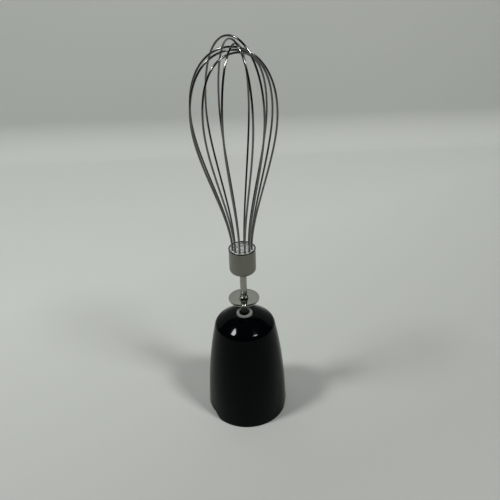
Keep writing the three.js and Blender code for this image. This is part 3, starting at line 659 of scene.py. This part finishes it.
# ------------------------------------------------------------------ output hub
# Moulded acetal hub, light grey. Its six-sided spigot turns with the planet carrier, a circlip holds
# it under the seal, and the whisk's shaft plugs into its six-sided socket through a wider mouth.
low, hub_top = (end.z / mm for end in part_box("output_hub"))
carrier_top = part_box("planet_carrier")[1].z / mm
clip_low, clip_high = (end.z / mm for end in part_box("hub_circlip"))
socket_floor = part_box("whisk_shaft")[0].z / mm - gap
detent = sum(end.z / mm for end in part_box("detent_ring")) / 2
spigot = hub - 0.1
groove = hub - 0.9
socket = 2.89
mouth = socket + 1.2
mouth_floor = hub_top - 2.5
room = 4.0
room_half = 0.8
spigot_top = carrier_top + gap
profile = [
    (spigot - 0.2, low), (spigot, low + 0.2), (spigot, spigot_top - 0.01), (hub, spigot_top),
    (hub, clip_low - gap), (groove, clip_low - gap), (groove, clip_high + gap), (hub, clip_high + gap),
    (hub, hub_top - 0.45), (hub - 0.06, hub_top - 0.22), (hub - 0.2, hub_top - 0.07), (hub - 0.42, hub_top),
    (mouth + 0.2, hub_top), (mouth + 0.05, hub_top - 0.06), (mouth, hub_top - 0.2), (mouth, mouth_floor),
    (socket + 0.1, mouth_floor - 0.3), (socket, mouth_floor - 0.6), (socket, detent + room_half),
    (room, detent + room_half), (room, detent - room_half), (socket, detent - room_half),
    (socket, socket_floor),
]
drive_hub = turn("drive_hub", profile, 144)

# Its spigot, its socket and the socket's mouth are six-sided.
six_sided(drive_hub, lambda radius, height: height < spigot_top - 0.005)
six_sided(drive_hub, lambda radius, height: height > spigot_top and radius < socket + 0.15)
six_sided(drive_hub, lambda radius, height: height > mouth_floor - 0.1 and radius < mouth + 0.3)
smooth_by_angle(drive_hub, 20)

# Acetal: light grey, close-grained and slightly waxy.
acetal = moulded("grey acetal", "#8d8e8b", "#9a9b97", 0.36, relief=0.04)
finish(drive_hub, acetal, "output", "grey_plastic", "output_hub")

# ------------------------------------------------------------------ whisk shaft
# Stainless bar, 4.8 mm, ground round above and milled to six flats below, with a groove for the
# hub's detent ring. Ears staked out of it hold the splash disc from both sides.
low, high = (end.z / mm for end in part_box("whisk_shaft"))
shaft = 2.4
groove = shaft - 0.5
flat = 2.2
disc_low, disc_high = (end.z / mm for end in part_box("splash_disc"))
flat_top = disc_high + 5.7
cutter = 4.0
run_out = sqrt(cutter ** 2 - (cutter - shaft + flat) ** 2)
run_out_start = flat_top - run_out
levels = [run_out_start + run_out * 1.1 * step / 10 for step in range(11)]
profile = [(shaft - 1, low), (shaft - 0.2, low + 0.75), (shaft, low + 1.1), (shaft, detent - 0.6),
           (groove, detent - 0.3), (groove, detent + 0.3), (shaft, detent + 0.6),
           *[(shaft, z) for z in levels], (shaft, high)]
shaft_bar = turn("shaft_bar", profile, 144)

# The cutter leaves the flats in an arc at their upper ends.
for vertex in shaft_bar.data.vertices:
    height = vertex.co.z / mm
    radius = hypot(vertex.co.x, vertex.co.y) / mm
    above = max(0.0, height - run_out_start)
    depth = flat + cutter - sqrt(max(0.0, cutter ** 2 - above ** 2))
    away = atan2(vertex.co.x, -vertex.co.y) % radians(60) - radians(30)
    share = min(1.0, depth / cos(away) / radius)
    vertex.co.x *= share
    vertex.co.y *= share
smooth_by_angle(shaft_bar, 9)
ears = [shaft_bar]
ear_reach = 3.0
ear_root = 1.2
ear_width = 1.3
ear_gap = 0.1
for number in range(4):
    for face, way, tall in ((disc_high, 1, 1.8), (disc_low, -1, 0.8)):
        start = face + ear_gap * way
        end = start + tall * way
        profile = [(ear_root, start), (ear_reach - 0.1, start), (ear_reach, start + 0.3 * way),
                   (ear_reach - 0.1, start + 0.4 * tall * way), (shaft + 0.05, end), (ear_root, end)]
        ear_piece = stand("ear", 90 * number, profile, ear_width)
        apply_modifier(ear_piece, "BEVEL", width=0.18 * mm, segments=3, angle_limit=radians(25))
        smooth_by_angle(ear_piece, 30)
        ears.append(ear_piece)
whisk_shaft = joined("shaft", ears)

# Stainless bar: ground around its axis, so the marks run round it.
ground_steel = worked_metal("ground stainless", "#97978f", "#a7a8a1", 0.27, (0.12, 0.12, 1.0), relief=0.10)
finish(whisk_shaft, ground_steel, "whisk", "polished_steel", "whisk_shaft")

# Milled stainless: the flats and the groove are duller, with cutter marks across them. Their darker
# tone is painted shade.
milled_with_painted_shade = worked_metal("milled stainless", "#4e4f4b", "#62635e", 0.34, (1.0, 1.0, 2.0), relief=0.2)
whisk_shaft.data.materials.append(milled_with_painted_shade)
# The flats and the groove take the milled finish with its painted shade.
for face in whisk_shaft.data.polygons:
    middle = face.center / mm
    is_side = hypot(face.normal.x, face.normal.y) > 0.8
    if is_side and shaft - 1 < hypot(middle.x, middle.y) < shaft + 0.02 and middle.z < flat_top:
        face.material_index = 1

# ------------------------------------------------------------------ splash disc
# Stamped stainless disc, barrel-polished, that keeps what climbs the shaft out of the hub. Its edge
# and its hole are rounded by the polishing.
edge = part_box("splash_disc")[1].x / mm
hole = 2.55
ring = [(hole + 0.15, disc_low), (edge - 0.35, disc_low), (edge - 0.13, disc_low + 0.08),
        (edge - 0.03, disc_low + 0.25), (edge, disc_low + 0.5), (edge - 0.03, disc_high - 0.25),
        (edge - 0.13, disc_high - 0.08), (edge - 0.35, disc_high), (hole + 0.25, disc_high),
        (hole + 0.07, disc_high - 0.07), (hole, disc_high - 0.25), (hole, disc_low + 0.15)]
splash = turn("splash_plate", [*ring, ring[0]], 192)
smooth_by_angle(splash, 30)

# Barrel-polished stainless: a soft mirror with fine scratches in every direction.
polished = worked_metal("barrel-polished stainless", "#a9aaa4", "#b3b4ae", 0.10, (1.0, 1.0, 1.0),
                        relief=0.03, spread=0.04)
finish(splash, polished, "whisk", "polished_steel", "splash_disc")

# ------------------------------------------------------------------ ferrule
# Deep-drawn stainless cup, satin-brushed. Its floor is pressed on the shaft, and its rolled rim
# stands above the plug that holds the wires.
low, ferrule_top = (end.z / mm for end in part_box("ferrule_cup"))
cup = 9.2
cup_wall = 0.5
cup_corner = 3.0
rolled = 0.36
rolled_low = ferrule_top - 0.9
hole = shaft + 0.15


def arc(radius, centre, start, stop, steps):
    """Points along an arc in the profile's plane, from one angle to another in degrees."""
    angles = [radians(start + (stop - start) * step / steps) for step in range(steps + 1)]
    return [(centre[0] + radius * cos(a), centre[1] + radius * sin(a)) for a in angles]


corner_at = (cup - cup_corner, low + cup_corner)
rolled_at = (cup - 0.28, ferrule_top - rolled)
ring = [(hole, low), *arc(cup_corner, corner_at, -90, 0, 14), (cup, rolled_low),
        *arc(rolled, rolled_at, -20, 200, 12), (cup - cup_wall, rolled_low),
        *arc(cup_corner - cup_wall, corner_at, 0, -90, 10), (hole, low + cup_wall)]
ferrule = turn("ferrule", [*ring, ring[0]], 192)
smooth_by_angle(ferrule, 35)

# Satin stainless: brushed round the cup on a lathe.
satin = worked_metal("satin stainless", "#7a7a72", "#878880", 0.36, (0.1, 0.1, 1.0), relief=0.12)
finish(ferrule, satin, "whisk", "satin_steel", "ferrule_cup")

# Rolled rim: the rolling tool leaves it smooth, and its dark tone is painted shade along the rolled edge.
smooth_rim_painted_shade = worked_metal("burnished stainless", "#2b2c29", "#363733", 0.16, (0.1, 0.1, 1.0))
ferrule.data.materials.append(smooth_rim_painted_shade)
# The top of the rolled rim takes the smooth finish and the painted shade.
for face in ferrule.data.polygons:
    if face.center.z / mm > ferrule_top - 2 * rolled:
        face.material_index = 1

# ------------------------------------------------------------------ wire plug
# Moulded plug in the ferrule, pale grey. The twelve wire ends sit in its holes, and its middle is
# cored out to an even wall.
low, plug_top = (end.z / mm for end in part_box("wire_plug"))
plug = cup - cup_wall - 0.05
wire_radius = 0.65
wire_circle = 6.65
first_hole = 45.8
hole_pitch = 30.0
cored = 4.2
cored_floor = plug_top - 1.1
profile = [(plug - 3, low), (plug - 0.9, low + 0.9), (plug, low + 3), (plug, plug_top - 0.35),
           (plug - 0.1, plug_top - 0.1), (plug - 0.35, plug_top), (cored + 0.7, plug_top),
           (cored + 0.5, plug_top - 0.08), (cored + 0.35, plug_top - 0.3), (cored + 0.25, cored_floor + 0.2),
           (cored, cored_floor), (0.8, cored_floor), (0.7, cored_floor + 0.2)]
wire_plug = turn("plug", profile, 144)
hole_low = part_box("wire_loop_1")[0].z / mm - 0.1
hole_radius = wire_radius + 0.06
lead_in = 0.44
hole_profile = [(hole_radius, hole_low), (hole_radius, plug_top - 0.3),
                (hole_radius + lead_in, plug_top - 0.3 + lead_in)]
holes = []
for number in range(12):
    hole = turn("hole", hole_profile, 32)
    holes.append(moved(hole, towards(first_hole + hole_pitch * number) * wire_circle))
carved(wire_plug, joined("holes", holes))
smooth_by_angle(wire_plug, 30)

# Plug plastic: pale grey, close-grained and soft in tone.
pale_plastic = moulded("pale plug plastic", "#a6a9a7", "#b4b7b4", 0.42, relief=0.04)
finish(wire_plug, pale_plastic, "whisk", "grey_plastic", "wire_plug")

# ------------------------------------------------------------------ whisk wires
# Six loops of springy stainless wire, drawn, electropolished and bent by hand. Each loop's ends
# sit in opposite holes of the plug, and the loops lie on one another at the crown.
leg_top = ferrule_top - 1.7
wire_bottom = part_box("wire_loop_1")[0].z / mm
balloon_height = 138.6
crossing = leg_top + balloon_height
belly_height = leg_top + 0.683 * balloon_height
belly_radius = 24.4
rise = belly_height - leg_top
leg_handle = leg_top + 0.307 * rise
low_handle = belly_height - 0.297 * rise
high_handle = belly_height + 0.6 * (crossing - belly_height)
crown_reach = 0.533 * belly_radius
# hole number, swing of the belly in degrees, extra belly radius, shift of the loop, lean of its crown
loop_set = [(0, 6, -2.3, -1.8, -1.2), (-1, 9, -0.6, -2.2, -1.0), (-2, -5, 0.0, 0.7, 0.0),
            (1, 7, 1.8, -1.9, 0.0), (-4, 4, 1.6, 2.8, 0.0), (-3, -9, -0.5, 0.6, 0.0)]


def at(flat, height):
    """A point over the floor plane, in metres from millimetres."""
    return Vector((flat.x, flat.y, height)) * mm


def wire_knots(number, hole, swing, wide, shift, lean):
    """The knots of one loop: its place and its two handles, from one end of the wire to the other."""
    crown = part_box(f"wire_loop_{number}")[1].z / mm - wire_radius
    across = towards(first_hole + hole_pitch * hole + swing)
    centre = across * shift
    knots = []
    for sign in (1, -1):
        foot = towards(first_hole + hole_pitch * hole) * wire_circle * sign
        belly = across * (belly_radius + wide) * sign + centre
        half = [
            (at(foot, wire_bottom), at(foot, wire_bottom - 4), at(foot, wire_bottom + 4)),
            (at(foot, leg_top), at(foot, leg_top - 5), at(foot, leg_handle)),
            (at(belly, belly_height), at(belly, low_handle), at(belly, high_handle)),
        ]
        if sign > 0:
            knots += half
            top = centre + across * lean
            reach = across * crown_reach
            knots.append((at(top, crown), at(top + reach, crown), at(top - reach, crown)))
        else:
            knots += [(place, after, before) for place, before, after in reversed(half)]
    return knots


# Electropolished spring wire: smooth and dark where it mirrors the room, with faint die lines.
spring_wire = new_material("electropolished wire")
place_on = node(spring_wire, "TexCoord").outputs["Object"]
stretch = node(spring_wire, "Mapping", {"Vector": place_on, "Scale": (1.0, 1.0, 0.04)})
lines = node(spring_wire, "TexNoise", {"Vector": stretch.outputs["Vector"], "Scale": 2500.0, "Detail": 1.0})
cloud = node(spring_wire, "TexNoise", {"Vector": place_on, "Scale": 90.0, "Detail": 3.0})
polish = node(spring_wire, "MapRange", {"Value": lines.outputs["Fac"], "From Min": 0.3, "From Max": 0.7,
                                        "To Min": 0.15, "To Max": 0.18})
tone = node(spring_wire, "MixRGB", {"Fac": cloud.outputs["Fac"], "Color1": linear("#6a6b68"),
                                    "Color2": linear("#7a7b78")})
relief = node(spring_wire, "Bump", {"Height": lines.outputs["Fac"], "Strength": 0.02, "Distance": 0.00002})
steel = node(spring_wire, "BsdfPrincipled", {
    "Base Color": tone.outputs["Color"], "Metallic": 1.0, "Roughness": polish.outputs["Result"],
    "Normal": relief.outputs["Normal"],
})
node(spring_wire, "OutputMaterial", {"Surface": steel.outputs["BSDF"]})

for number, loop in enumerate(loop_set, 1):
    knots = wire_knots(number, *loop)
    bpy.ops.object.select_all(action="DESELECT")
    bpy.ops.curve.primitive_bezier_curve_add(location=(0, 0, 0))
    wire = bpy.context.object
    spline = wire.data.splines[0]
    spline.bezier_points.add(len(knots) - len(spline.bezier_points))
    for point, (place, before, after) in zip(spline.bezier_points, knots):
        point.handle_left_type = "FREE"
        point.handle_right_type = "FREE"
        point.co = place
        point.handle_left = before
        point.handle_right = after
    wire.data.dimensions = "3D"
    wire.data.twist_mode = "MINIMUM"
    wire.data.resolution_u = 28
    wire.data.bevel_depth = wire_radius * mm
    wire.data.bevel_resolution = 4
    wire.data.use_fill_caps = True
    bpy.ops.object.convert(target="MESH")
    wire = bpy.context.object
    wire.name = f"wire_{number}"
    bpy.ops.object.mode_set(mode="EDIT")
    bpy.ops.mesh.select_all(action="SELECT")
    bpy.ops.mesh.remove_doubles(threshold=0.00001)
    bpy.ops.mesh.normals_make_consistent(inside=False)
    bpy.ops.object.mode_set(mode="OBJECT")
    smooth_by_angle(wire, 50)
    finish(wire, spring_wire, "whisk", "wire_steel", f"wire_loop_{number}")

# ------------------------------------------------------------------ gears and bearings
# Sealed in the gearbox, and already in their final shapes. Casing, ring gear and planets are moulded
# in natural acetal, and the rest is steel, oil-filled bronze and nitrile rubber.


def refinish(material, *names):
    """Gives nodes of the frame a material."""
    for name in names:
        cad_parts[name].material_slots[0].material = material


# Natural acetal: cream, with a waxy gloss.
natural = moulded("natural acetal", "#ddd9cc", "#e7e4d9", 0.34, relief=0.04)
refinish(natural, "gearbox_casing", "ring_gear", "planet_gear_1", "planet_gear_2", "planet_gear_3")

# Hobbed and hardened steel: the sun gear and its shaft, and the carrier, oiled and slightly brown.
hobbed = worked_metal("hobbed steel", "#77756f", "#8a8883", 0.34, (1.0, 1.0, 0.2), relief=0.12)
refinish(hobbed, "sun_gear", "planet_carrier")

# Ground steel: pins, plates and spring rings.
bright = worked_metal("ground steel", "#a3a4a1", "#b6b7b4", 0.18, (0.4, 0.4, 1.0))
refinish(bright, "planet_pin_1", "planet_pin_2", "planet_pin_3", "planet_retainer", "thrust_washer",
         "hub_circlip", "detent_ring")

# Sintered bronze: pressed powder, open-grained, brown with oil.
bronze = worked_metal("sintered bronze", "#7d5f38", "#957446", 0.52, (1.0, 1.0, 1.0), relief=0.35,
                      spread=0.1)
refinish(bronze, "input_bush", "output_bush")

# Nitrile rubber: black and matt.
rubber = moulded("nitrile rubber", "#121212", "#1c1c1b", 0.7, grain=400.0, relief=0.15)
refinish(rubber, "lip_seal")

# ------------------------------------------------------------------ sizes
low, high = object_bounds()
